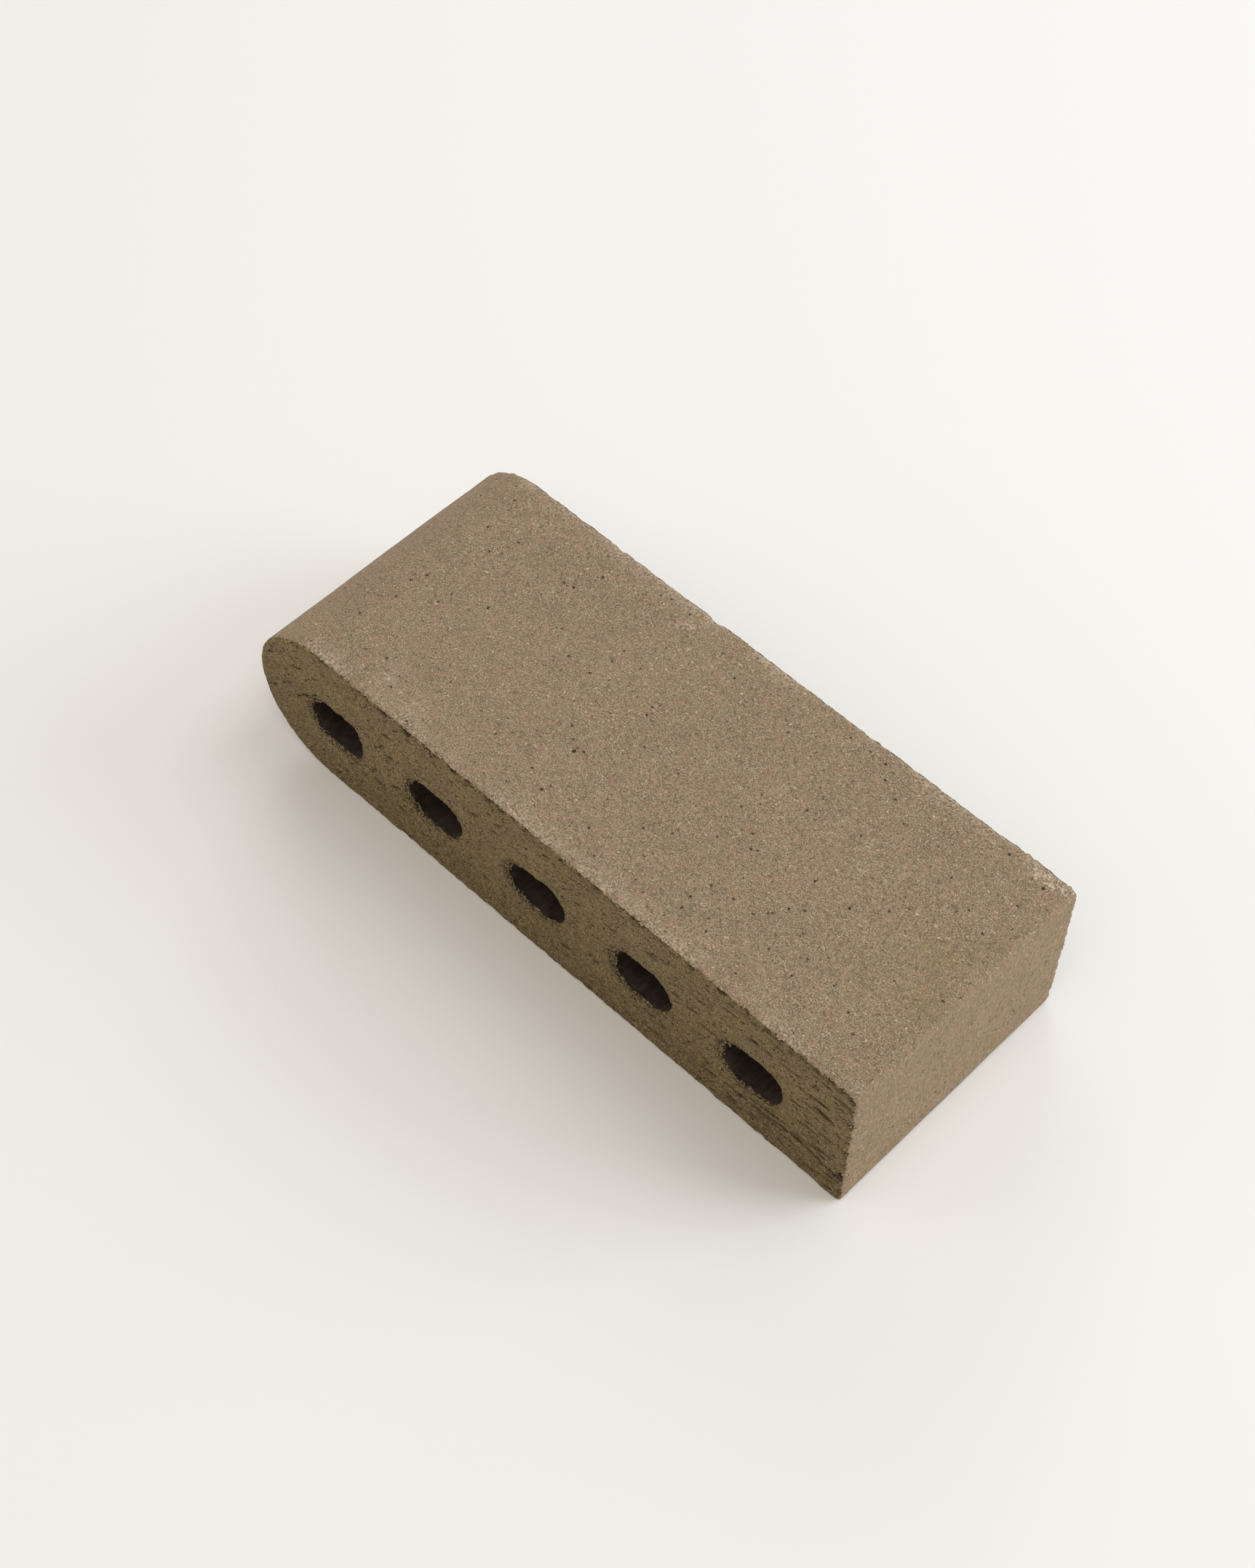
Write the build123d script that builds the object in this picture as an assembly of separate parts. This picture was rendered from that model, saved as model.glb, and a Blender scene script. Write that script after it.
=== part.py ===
from build123d import *
import os

# Bullnose clay paver, one fired piece: a clay column pushed through a die and cut across by wires.
# The die gives the top, the bed, the half-round nose and the square end, and runs along Y.
# The wires give the two long faces, where the cores open.
# Millimetres. The origin is the middle of the bed. +X points to the square end, +Z is up.

# Outer size
length = 235.0  # tip of the nose to the square end
width = 92.0  # one wire cut to the next
thickness = 57.0  # bed to top

# Die section
end_arris_radius = 2.0  # the die's soft corners at the top and foot of the square end

# Cores, side by side along the middle of the thickness
core_count = 5
core_span = 21.5  # of one core, along the length
core_height = 15.3  # round ends of half this
nose_wall = 23.75  # tip of the nose to the first core
end_wall = 23.75  # last core to the square end


def die_section():
    """The column's outline: flat top and bed, a full half-round nose and a square end."""
    nose_tip = -length / 2
    square_end = length / 2
    nose_centre = nose_tip + thickness / 2
    with BuildSketch(Plane.XZ) as section:
        with BuildLine():
            ThreePointArc((nose_centre, 0), (nose_tip, thickness / 2), (nose_centre, thickness))
            Polyline((nose_centre, thickness), (square_end, thickness), (square_end, 0), (nose_centre, 0))
        make_face()
        fillet(section.vertices().group_by(Axis.X)[-1], end_arris_radius)
    return section.sketch


def core_section():
    """The row of obround cores, spread evenly between the nose wall and the end wall."""
    first_core = -length / 2 + nose_wall + core_span / 2
    last_core = length / 2 - end_wall - core_span / 2
    pitch = (last_core - first_core) / (core_count - 1)
    with BuildSketch(Plane.XZ) as section:
        with Locations(*[(first_core + i * pitch, thickness / 2) for i in range(core_count)]):
            SlotOverall(core_span, core_height)
    return section.sketch


def paver():
    """The whole unit: the section minus the cores, as long as the gap between two cutting wires."""
    return extrude(die_section() - core_section(), width / 2, both=True)


os.makedirs("parts", exist_ok=True)
unit = paver()
export_step(unit, "parts/paver.step")
print("paver", round(unit.volume / 1e6, 4), "litres of clay")
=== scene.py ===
# Bullnose clay paver: one fired piece, with its worn arrises, torn core mouths, drag marks and pits
import bpy
import bmesh
import math
import random
from mathutils import Matrix, Vector, kdtree, noise
from mathutils.geometry import delaunay_2d_cdt


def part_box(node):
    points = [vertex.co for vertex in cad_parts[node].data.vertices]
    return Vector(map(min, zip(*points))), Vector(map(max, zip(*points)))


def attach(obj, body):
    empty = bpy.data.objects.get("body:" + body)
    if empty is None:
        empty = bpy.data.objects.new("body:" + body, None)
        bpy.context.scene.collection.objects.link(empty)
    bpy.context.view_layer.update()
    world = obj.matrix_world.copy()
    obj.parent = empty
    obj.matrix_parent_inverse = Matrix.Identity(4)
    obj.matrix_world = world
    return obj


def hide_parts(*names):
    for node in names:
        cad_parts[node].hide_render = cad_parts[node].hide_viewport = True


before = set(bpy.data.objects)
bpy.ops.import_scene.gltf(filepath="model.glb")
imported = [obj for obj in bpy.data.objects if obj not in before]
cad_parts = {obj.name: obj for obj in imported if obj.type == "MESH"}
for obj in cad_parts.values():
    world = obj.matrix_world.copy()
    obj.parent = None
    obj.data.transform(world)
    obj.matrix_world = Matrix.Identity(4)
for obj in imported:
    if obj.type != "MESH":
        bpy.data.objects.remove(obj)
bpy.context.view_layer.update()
print("frame loaded:", sorted(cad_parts))

mm = 0.001  # shapes are worked out in millimetres and scaled once, when the mesh is made
boxLow, boxHigh = (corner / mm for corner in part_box("paver"))

# The unit's section as it left the die
unit = {
    "endArris": 2.0,  # the die's soft corner at the square end
    "coreCount": 5,
    "corePitch": 41.5,
    "coreSpan": 21.5,
    "coreHeight": 15.3,
}
halfLength = boxHigh.x
halfWidth = boxHigh.y
thickness = boxHigh.z
midHeight = thickness / 2
noseCentre = midHeight - halfLength
endArris = unit["endArris"]
coreRadius = unit["coreHeight"] / 2
coreStraight = unit["coreSpan"] / 2 - coreRadius  # half of a core's flat run
coreCentres = [(i - (unit["coreCount"] - 1) / 2) * unit["corePitch"] for i in range(unit["coreCount"])]
flatRun = halfLength - endArris - noseCentre  # the flat of the bed, and of the top
endRun = thickness - 2 * endArris
arrisRun = endArris * math.pi / 2
noseRun = midHeight * math.pi
topStart = flatRun + arrisRun + endRun + arrisRun  # distance round the section where the top begins
aroundSection = topStart + flatRun + noseRun
aroundCore = 4 * coreStraight + 2 * math.pi * coreRadius


def sectionAt(s):  # x and z at distance s round the section: bed, square end, top, then nose
    if s < flatRun:
        return noseCentre + s, 0.0
    s -= flatRun
    if s < arrisRun:
        turn = s / endArris
        return halfLength - endArris + endArris * math.sin(turn), endArris - endArris * math.cos(turn)
    s -= arrisRun
    if s < endRun:
        return halfLength, endArris + s
    s -= endRun
    if s < arrisRun:
        turn = s / endArris
        x = halfLength - endArris + endArris * math.cos(turn)
        return x, thickness - endArris + endArris * math.sin(turn)
    s -= arrisRun
    if s < flatRun:
        return halfLength - endArris - s, thickness
    turn = (s - flatRun) / midHeight
    return noseCentre - midHeight * math.sin(turn), midHeight + midHeight * math.cos(turn)


def skinDepth(x, z):  # how far a point of the section lies inside the die's outline
    if x < noseCentre:
        return midHeight - math.hypot(x - noseCentre, z - midHeight)
    cornerX = x - (halfLength - endArris)
    cornerZ = abs(z - midHeight) - (midHeight - endArris)
    if cornerX > 0 and cornerZ > 0:
        return endArris - math.hypot(cornerX, cornerZ)
    return min(z, thickness - z, halfLength - x)


def nearestCore(x):
    return min(range(unit["coreCount"]), key=lambda i: abs(x - coreCentres[i]))


def coreDepth(x, z):  # how far a point of the section lies from the nearest core's wall
    alongCore = max(abs(x - coreCentres[nearestCore(x)]) - coreStraight, 0)
    return math.hypot(alongCore, z - midHeight) - coreRadius


def coreWallAt(i, u):  # x and z at distance u round core i: lower flat, right end, upper flat, left end
    flat = 2 * coreStraight
    end = math.pi * coreRadius
    centre = coreCentres[i]
    if u < flat:
        return centre - coreStraight + u, midHeight - coreRadius
    u -= flat
    if u < end:
        turn = u / coreRadius
        return centre + coreStraight + coreRadius * math.sin(turn), midHeight - coreRadius * math.cos(turn)
    u -= end
    if u < flat:
        return centre + coreStraight - u, midHeight + coreRadius
    turn = (u - flat) / coreRadius
    return centre - coreStraight - coreRadius * math.sin(turn), midHeight + coreRadius * math.cos(turn)


# Mesh spacing in millimetres: fine at the arrises and core mouths, coarse where little is seen
spacing = {
    "arris": 0.5,
    "farArris": 0.8,
    "arrisBand": 2.4,  # depth of the fine band behind each arris
    "nearCut": 0.72,
    "farCut": 1.5,
    "top": 0.92,
    "end": 0.9,
    "nose": 1.0,
    "bed": 2.6,
    "mouth": 0.5,
    "farMouth": 1.0,
    "mouthBand": 2.4,
    "throat": 1.2,
    "bore": 3.0,
    "throatRun": 11.0,  # depth of the throat, the part of a core that is seen into
    "bedStart": 5.0,  # the bed's coarse part starts that far from the nose,
    "bedEnd": 8.0,  # ends that far from the square end
    "bedEdge": 1.2,  # and stops that far from the cut faces
    "topPast": 14.0,  # the top's spacing runs on that far over the nose
    "tear": 0.45,  # from point to point along a tear
    "clearTear": 0.35,  # gap left round the points of a tear or a pit on a cut face
    "clearPit": 0.4,  # and on the die's skin
    "clearEdge": 0.3,  # gap between those points and the edge of the face
    "clearArris": 0.18,  # gap between other points and an arris
    "clearMouth": 0.2,
    "seam": 0.4,  # gap at the seam where a skin is unrolled
    "lastStep": 0.3,  # a last step shorter than this share of a step is left out
    "jitter": 0.28,  # share of the spacing that a grid point may stray
}
weld = 0.004  # points that near to each other are one
seed = 41  # of every random choice
pitRings = ((0.5, 6), (1.0, 9))  # share of a pit's radius, and points round it

# Tears and pits read off the photograph, in millimetres, x counted from the tip of the nose.
# A tear has two ends (x and z, or x and y on the top), half its width and its depth.
# A pit has its place, its radius and its depth.
marks = {
    "cutTears": [
        (190.0, 12.4, 207.6, 13.1, 0.34, 0.40), (207.6, 13.1, 215.0, 14.1, 0.50, 0.65),
        (215.0, 14.1, 220.6, 14.2, 0.62, 0.80), (220.6, 14.2, 228.3, 12.5, 0.52, 0.70),
        (228.3, 12.5, 234.6, 11.8, 0.48, 0.60), (222.1, 38.0, 228.6, 37.4, 0.75, 1.00),
        (203.4, 45.2, 206.6, 45.0, 0.40, 0.45), (215.4, 41.3, 219.0, 41.0, 0.38, 0.40),
        (183.6, 11.1, 188.2, 11.5, 0.45, 0.45), (198.6, 45.4, 201.4, 45.0, 0.55, 0.45),
        (227.4, 50.7, 234.4, 51.0, 0.35, 0.45), (228.0, 9.4, 234.2, 9.8, 0.32, 0.35),
        (229.5, 44.2, 233.8, 42.6, 0.30, 0.35),
        (126.8, 12.8, 130.2, 13.4, 0.45, 0.45), (55.6, 35.2, 58.8, 36.8, 0.45, 0.45),
        (4.2, 38.6, 7.2, 40.8, 0.35, 0.40), (4.6, 22.4, 6.6, 24.8, 0.40, 0.45),
        (1.6, 20.4, 4.4, 22.8, 0.22, 0.25), (11.4, 36.2, 13.2, 38.0, 0.30, 0.30),
        (12.2, 46.4, 12.9, 47.2, 0.40, 0.40), (82.6, 49.2, 84.4, 50.4, 0.40, 0.35),
        (119.6, 50.8, 121.4, 51.4, 0.38, 0.35), (128.6, 43.6, 130.6, 44.2, 0.36, 0.35),
        (66.2, 31.0, 67.0, 29.6, 0.40, 0.45), (199.8, 8.6, 201.2, 8.8, 0.30, 0.28),
    ],
    "cutPits": [
        (13.8, 30.7, 0.50, 0.5), (31.2, 44.6, 0.40, 0.4), (24.4, 43.9, 0.40, 0.4),
        (63.4, 43.4, 0.45, 0.4), (90.8, 41.0, 0.35, 0.3), (120.4, 26.6, 0.30, 0.3),
        (139.0, 45.5, 0.45, 0.4), (169.2, 49.0, 0.40, 0.4), (172.4, 43.8, 0.30, 0.3),
        (26.0, 7.6, 0.45, 0.4), (20.0, 5.6, 0.50, 0.4), (110.0, 7.8, 0.45, 0.4),
    ],
    "topTears": [(190.0, -16.9, 190.9, -17.6, 0.35, 0.35)],
    "topPits": [
        (104.0, -17.5, 0.80, 0.8), (26.7, 32.3, 0.80, 0.4), (27.4, 23.2, 0.60, 0.3),
        (227.4, 39.6, 0.65, 0.8), (106.9, -33.3, 0.75, 0.5), (125.4, -33.3, 0.60, 0.4),
        (164.3, 13.5, 0.70, 0.3), (197.2, -29.3, 0.55, 0.4), (84.1, -28.9, 0.50, 0.4),
        (60.2, 23.7, 0.40, 0.3), (61.8, 24.6, 0.35, 0.3), (70.5, 11.3, 0.45, 0.4),
        (89.3, 12.9, 0.45, 0.4), (110.2, 11.1, 0.35, 0.3), (91.7, -5.1, 0.35, 0.3),
        (151.7, 8.7, 0.40, 0.3), (164.8, 19.6, 0.40, 0.3), (186.3, 29.1, 0.45, 0.3),
        (173.3, -10.9, 0.35, 0.3), (207.3, -23.7, 0.40, 0.4), (226.0, 30.2, 0.45, 0.4),
        (217.6, 19.9, 0.40, 0.4), (205.8, 8.8, 0.45, 0.3), (203.2, 9.5, 0.35, 0.3),
        (233.6, -38.0, 0.55, 0.4), (220.1, 28.9, 0.50, 0.2),
    ],
    # pale scratches on the top, as tears, but with a strength in place of the depth
    "scratches": [(222.8, 40.9, 233.8, 42.4, 0.9, 1.0), (219.0, 42.6, 234.0, 44.4, 1.3, 0.5)],
    "endPits": [  # y, z, radius, depth
        (25.1, 36.9, 0.45, 0.4), (30.4, 33.3, 0.35, 0.3), (36.5, 28.5, 0.30, 0.3),
        (-10.9, 45.0, 0.45, 0.3), (-5.7, 10.1, 0.50, 0.4), (-23.0, 26.5, 0.45, 0.4),
        (-7.7, 28.4, 0.40, 0.3), (-25.6, 31.9, 0.40, 0.3), (-35.9, 5.0, 0.40, 0.4),
        (12.0, 22.0, 0.35, 0.3), (-33.0, 40.0, 0.35, 0.3), (2.0, 38.0, 0.30, 0.3),
    ],
}
# Chips on an arris: x from the tip, y, z, depth and reach
chips = [
    (61.7, halfWidth, thickness, 1.2, 2.6), (100.2, halfWidth, thickness, 1.4, 3.4),
    (160.0, halfWidth, thickness, 0.6, 3.0), (234.6, halfWidth, thickness - 0.5, 0.9, 2.2),
    (233.9, -halfWidth, 14.0, 1.0, 2.2), (234.2, -halfWidth, 55.8, 1.3, 2.4),
    (234.6, -halfWidth, 49.7, 0.8, 1.8), (234.8, -halfWidth, 42.0, 1.0, 2.2),
    (234.8, -halfWidth, 35.3, 0.7, 1.8), (234.8, -halfWidth, 27.0, 0.8, 1.8),
    (234.8, -halfWidth, 20.8, 0.7, 1.7), (234.8, -halfWidth, 5.0, 0.9, 2.0),
    (61.0, -halfWidth, 0.4, 0.6, 2.4), (134.6, -halfWidth, 0.0, 1.0, 1.9),
    (206.0, -halfWidth, 0.0, 0.7, 1.7),
]
# Nicks along the near top arris: x from the tip, depth and reach
nickDrop = 0.6  # the nicks lie that far below the top
nicks = [
    (29.5, 1.0, 1.9), (45.2, 0.7, 1.7), (49.0, 0.8, 1.8), (55.8, 1.2, 2.2), (65.2, 1.5, 2.6),
    (74.3, 0.8, 1.6), (77.3, 0.8, 1.8), (84.2, 1.4, 2.4), (90.1, 0.8, 1.7), (98.2, 1.2, 2.2),
    (103.3, 1.2, 2.3), (113.6, 0.7, 1.8), (127.2, 0.6, 1.7), (134.0, 0.7, 1.6), (140.5, 0.9, 1.9),
    (146.8, 0.7, 1.6), (154.0, 0.8, 1.8), (157.2, 1.1, 2.0), (165.6, 0.8, 1.8), (175.8, 0.9, 1.9),
    (186.8, 1.3, 2.2), (196.0, 0.6, 1.6), (204.0, 0.8, 1.7), (207.5, 1.1, 2.0), (212.6, 0.9, 2.0),
    (215.8, 0.8, 1.7), (220.5, 0.7, 1.6), (225.5, 0.9, 1.8), (230.0, 0.9, 1.8),
]
# How each core's near mouth departs from the die's obround: core, degrees from +X, outward pull
# and half width
mouthShape = [
    (0, 42, 1.2, 3.0), (0, 180, 0.4, 2.5), (0, 218, 1.4, 1.6), (0, -34, 0.9, 2.4), (0, 0, -0.5, 1.8),
    (0, 150, -0.5, 2.5), (0, 100, -0.4, 2.0), (1, -42, 1.0, 1.8), (1, 215, -1.3, 3.0),
    (1, 142, 0.7, 2.5), (2, 180, 0.3, 2.0), (2, 225, -0.9, 3.0), (2, 60, 0.5, 4.0), (2, -50, -0.6, 2.5),
    (3, 140, 0.8, 2.2), (3, 180, -1.0, 2.6), (3, 225, -0.6, 2.4), (3, 70, 0.4, 3.0),
    (4, 180, -0.7, 2.5), (4, 205, 0.6, 1.6), (4, 0, -0.2, 3.0), (4, -95, -1.0, 1.3),
    (4, -70, -0.5, 1.0), (4, -40, 0.7, 2.0),
]
mouthBlend = 0.8  # power by which a pull fades away from its middle
# Patches of tint on the top: x from the tip, y, radius, strength
tints = {
    "pale": [
        (96.2, 38.0, 3.2, 1.0), (93.0, 35.5, 2.2, 0.7), (184.5, 16.7, 3.6, 0.8),
        (174.8, 18.1, 2.6, 0.6), (187.1, 9.8, 3.4, 0.7), (197.7, 14.9, 2.4, 0.5),
        (84.5, 32.1, 2.4, 0.4), (109.8, 30.0, 3.0, 0.4), (203.1, -14.1, 2.4, 0.5),
        (218.0, 33.0, 3.0, 0.5), (48.0, -36.0, 7.0, 0.5), (62.0, -38.0, 8.0, 0.5),
        (224.0, 41.5, 1.6, 0.9), (228.0, 42.2, 1.6, 0.9), (231.5, 42.6, 1.6, 0.8),
        (232.5, 31.0, 2.4, 0.4),
    ],
    "olive": [
        (222.0, 2.0, 13.0, 0.9), (228.0, -12.0, 14.0, 0.7), (230.0, 14.0, 9.0, 0.5),
        (210.0, -16.0, 11.0, 0.4), (12.0, 0.0, 16.0, 0.6), (8.0, 30.0, 18.0, 0.7),
        (10.0, -30.0, 14.0, 0.5),
    ],
}


# The wire's drag marks and their random tears, in millimetres. The short tears lie all over a cut
# face, the long ones near the square end.
dragSteep = 0.65  # slope of the marks at the tip of the nose
cutEdge = 1.0  # no tear's middle lies nearer to the edge of the face
tearDepth = (0.20, 0.50)
tearKinds = {
    "short": {
        "near": 150, "far": 70, "from": -halfLength, "to": halfLength, "stray": 0.25,
        "reach": (0.2, 0.6), "reachTail": 2.4, "half": (0.20, 0.44), "clearCore": 1.0,
    },
    "long": {
        "near": 60, "far": 16, "from": halfLength - 75, "to": halfLength - 2, "stray": 0.03,
        "reach": (1.0, 4.5), "reachTail": 0.0, "half": (0.24, 0.36), "clearCore": 5.0,
    },
}
lastCoreEnd = 95.0  # past this x the long tears are clear of the cores


def dragSlope(x):  # slope of the wire's drag marks: steep at the nose, level at the square end
    return dragSteep * (1 - (x + halfLength) / (2 * halfLength))


def dragPlace(p):  # a point's place along and across the wire's drag marks
    run = p.x + halfLength
    return Vector((run, p.z - dragSteep * (run - run * run / (4 * halfLength)), p.y))


def fromTip(tears):  # tears or pits with x moved from the tip of the nose to the frame's middle
    if len(tears[0]) == 4:
        return [(x - halfLength, v, radius, depth) for x, v, radius, depth in tears]
    return [(u0 - halfLength, v0, u1 - halfLength, v1, *rest) for u0, v0, u1, v1, *rest in tears]


def segmentDistance(u, v, tear):  # distance to a tear's middle line, and how far along it
    u0, v0, u1, v1 = tear[:4]
    du, dv = u1 - u0, v1 - v0
    along = max(0.0, min(1.0, ((u - u0) * du + (v - v0) * dv) / (du * du + dv * dv)))
    return math.hypot(u - u0 - du * along, v - v0 - dv * along), along


def dragTears(draw, side):  # random tears for the near or the far cut face
    tears = []
    for kind in tearKinds.values():
        wanted = len(tears) + kind[side]
        while len(tears) < wanted:
            x = draw.uniform(kind["from"], kind["to"])
            z = draw.uniform(cutEdge, thickness - cutEdge)
            clear = kind["clearCore"] if x < lastCoreEnd else cutEdge
            if skinDepth(x, z) < cutEdge or coreDepth(x, z) < clear:
                continue
            slope = dragSlope(x) + draw.gauss(0, kind["stray"])
            reach = draw.uniform(*kind["reach"])
            if kind["reachTail"]:
                reach += draw.random() ** 4 * kind["reachTail"]  # a few are much longer
            rise = slope * reach
            half = draw.uniform(*kind["half"])
            tears.append((x - reach, z - rise, x + reach, z + rise, half, draw.uniform(*tearDepth)))
    return tears


def steps(total, stepAt):  # distances from 0 to total, each step as long as stepAt says there
    places = [0.0]
    while places[-1] + stepAt(places[-1]) < total - spacing["lastStep"] * stepAt(places[-1]):
        places.append(places[-1] + stepAt(places[-1]))
    return places


def scatter(draw, low, high, step, keep):  # a jittered grid between two corners, where keep says so
    points = []
    for row in range(int((high[1] - low[1]) / step) + 1):
        for column in range(int((high[0] - low[0]) / step) + 1):
            u = low[0] + (column + 0.5 * (row % 2)) * step + draw.uniform(-1, 1) * spacing["jitter"] * step
            v = low[1] + row * step + draw.uniform(-1, 1) * spacing["jitter"] * step
            if low[0] < u < high[0] and keep(u, v):
                points.append((u, v))
    return points


def pointsAlong(tear):  # mesh points along a tear, in three rows, so that the slit has geometry
    u0, v0, u1, v1, half, _ = tear
    span = math.hypot(u1 - u0, v1 - v0)
    across = Vector((v0 - v1, u1 - u0)) / span * half
    count = max(2, int(span / spacing["tear"]))
    points = []
    for i in range(count + 1):
        u, v = u0 + (u1 - u0) * i / count, v0 + (v1 - v0) * i / count
        points += [(u, v), (u + across.x, v + across.y), (u - across.x, v - across.y)]
    return points


def pointsRound(pit):  # mesh points for a pit: its bottom and two rings
    u, v, radius, _ = pit
    points = [(u, v)]
    for ring, count in pitRings:
        for i in range(count):
            turn = 2 * math.pi * (i + ring) / count
            points.append((u + radius * ring * math.cos(turn), v + radius * ring * math.sin(turn)))
    return points


def treeOf(points):  # a search tree over flat points
    tree = kdtree.KDTree(len(points))
    for i, p in enumerate(points):
        tree.insert((p[0], p[1], 0), i)
    tree.balance()
    return tree


vertices = []
triangles = []


def addPatch(loops, loose, place, keep=None):  # triangulates a flat patch and places its points in space
    points = []
    edges = []
    for loop in loops:
        first = len(points)
        points += loop
        edges += [(first + i, first + (i + 1) % len(loop)) for i in range(len(loop))]
    points += loose
    result = delaunay_2d_cdt([Vector(p) for p in points], edges, [], 0, 1e-5)
    first = len(vertices)
    vertices.extend(place(u, v) for u, v in result[0])
    for face in result[2]:
        u, v = (sum(result[0][i][axis] for i in face) / 3 for axis in (0, 1))
        if keep is None or keep(u, v):
            triangles.append([first + i for i in face])


def addCutFace(side, step, tears, pits):
    loops = [[sectionAt(s) for s in sectionPlaces]]
    loops += [[coreWallAt(i, u) for u in corePlaces] for i in range(unit["coreCount"])]
    marked = [p for tear in tears for p in pointsAlong(tear)]
    marked += [p for pit in pits for p in pointsRound(pit)]
    marked = [p for p in marked if min(skinDepth(*p), coreDepth(*p)) > spacing["clearEdge"]]
    tree = treeOf(marked)

    def keepBetween(u, v, low, high):
        isBetween = low < min(skinDepth(u, v), coreDepth(u, v)) < high
        return isBetween and tree.find((u, v, 0))[2] > spacing["clearTear"]

    band = spacing["arrisBand"]
    corners = (-halfLength, 0.0), (halfLength, thickness)
    fine = spacing["arris" if side < 0 else "farArris"]
    loose = scatter(draw, *corners, fine, lambda u, v: keepBetween(u, v, spacing["clearArris"], band))
    loose += scatter(draw, *corners, step, lambda u, v: keepBetween(u, v, band, math.inf))
    loose += marked
    addPatch(loops, loose, lambda u, v: (u, side * halfWidth, v), lambda u, v: coreDepth(u, v) > 0)


def unrolledLoop(places, around, step):  # outline of a skin that is unrolled: u round it, v along Y
    edgePlaces = steps(2 * halfWidth, lambda v: step)
    loop = [(s, -halfWidth) for s in places]
    loop += [(around, v - halfWidth) for v in edgePlaces]
    loop += [(s, halfWidth) for s in reversed(places + [around])]
    return loop + [(0.0, v - halfWidth) for v in reversed(edgePlaces[1:])]


def addDieSkin():
    def onTop(x, y):
        return topStart + halfLength - endArris - x, y

    def onEnd(y, z):
        return flatRun + arrisRun + z - endArris, y

    marked = []
    for x, y, radius, depth in topPits:
        marked += pointsRound((*onTop(x, y), radius, depth))
    for y, z, radius, depth in marks["endPits"]:
        marked += pointsRound((*onEnd(y, z), radius, depth))
    for x0, y0, x1, y1, half, depth in topTears:
        marked += pointsAlong((*onTop(x0, y0), *onTop(x1, y1), half, depth))
    tree = treeOf(marked)

    def zoneOf(u, v):
        edge = halfWidth - abs(v)
        inBed = spacing["bedStart"] < u < flatRun - spacing["bedEnd"]
        if edge < spacing["clearArris"]:
            return ""
        if edge < spacing["arrisBand"] and not (inBed and edge > spacing["bedEdge"]):
            return "arris" if v < 0 else "farArris"
        if inBed:
            return "bed"
        if u < topStart:
            return "end"
        return "top" if u < topStart + flatRun + spacing["topPast"] else "nose"

    def isClear(u, v):
        return tree.find((u, v, 0))[2] > spacing["clearPit"]

    low, high = (spacing["seam"], -halfWidth), (aroundSection - spacing["seam"], halfWidth)
    loose = []
    for zone in ("arris", "farArris", "bed", "end", "top", "nose"):
        loose += scatter(draw, low, high, spacing[zone], lambda u, v: zoneOf(u, v) == zone and isClear(u, v))

    def place(u, v):
        x, z = sectionAt(u % aroundSection)
        return x, v, z

    addPatch([unrolledLoop(sectionPlaces, aroundSection, spacing["bed"])], loose + marked, place)


def addBore(i):
    def zoneOf(v):
        edge = halfWidth - abs(v)
        if edge < spacing["clearMouth"]:
            return ""
        if edge < spacing["mouthBand"]:
            return "mouth" if v < 0 else "farMouth"
        return "throat" if v < spacing["throatRun"] - halfWidth else "bore"

    low, high = (spacing["seam"], -halfWidth), (aroundCore - spacing["seam"], halfWidth)
    loose = []
    for zone in ("mouth", "farMouth", "throat", "bore"):
        loose += scatter(draw, low, high, spacing[zone], lambda u, v: zoneOf(v) == zone)

    def place(u, v):
        x, z = coreWallAt(i, u % aroundCore)
        return x, v, z

    addPatch([unrolledLoop(corePlaces, aroundCore, spacing["bore"])], loose, place)


print("triangulating the surface")
draw = random.Random(seed)
sectionPlaces = steps(aroundSection, lambda s: spacing["arris"])
corePlaces = steps(aroundCore, lambda u: spacing["mouth"])
nearTears = fromTip(marks["cutTears"]) + dragTears(draw, "near")
farTears = dragTears(draw, "far")
nearPits = fromTip(marks["cutPits"])
topTears = fromTip(marks["topTears"])
topPits = fromTip(marks["topPits"])
addCutFace(-1, spacing["nearCut"], nearTears, nearPits)
addCutFace(1, spacing["farCut"], farTears, [])
addDieSkin()
for i in range(unit["coreCount"]):
    addBore(i)

mesh = bpy.data.meshes.new("paverClay")
mesh.from_pydata(vertices, [], triangles)
build = bmesh.new()
build.from_mesh(mesh)
bmesh.ops.remove_doubles(build, verts=build.verts, dist=weld)
bmesh.ops.recalc_face_normals(build, faces=build.faces)
openEdges = sum(1 for edge in build.edges if len(edge.link_faces) != 2)
build.to_mesh(mesh)
build.free()
print("surface:", len(mesh.vertices), "points,", len(mesh.polygons), "triangles,", openEdges, "open edges")

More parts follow.
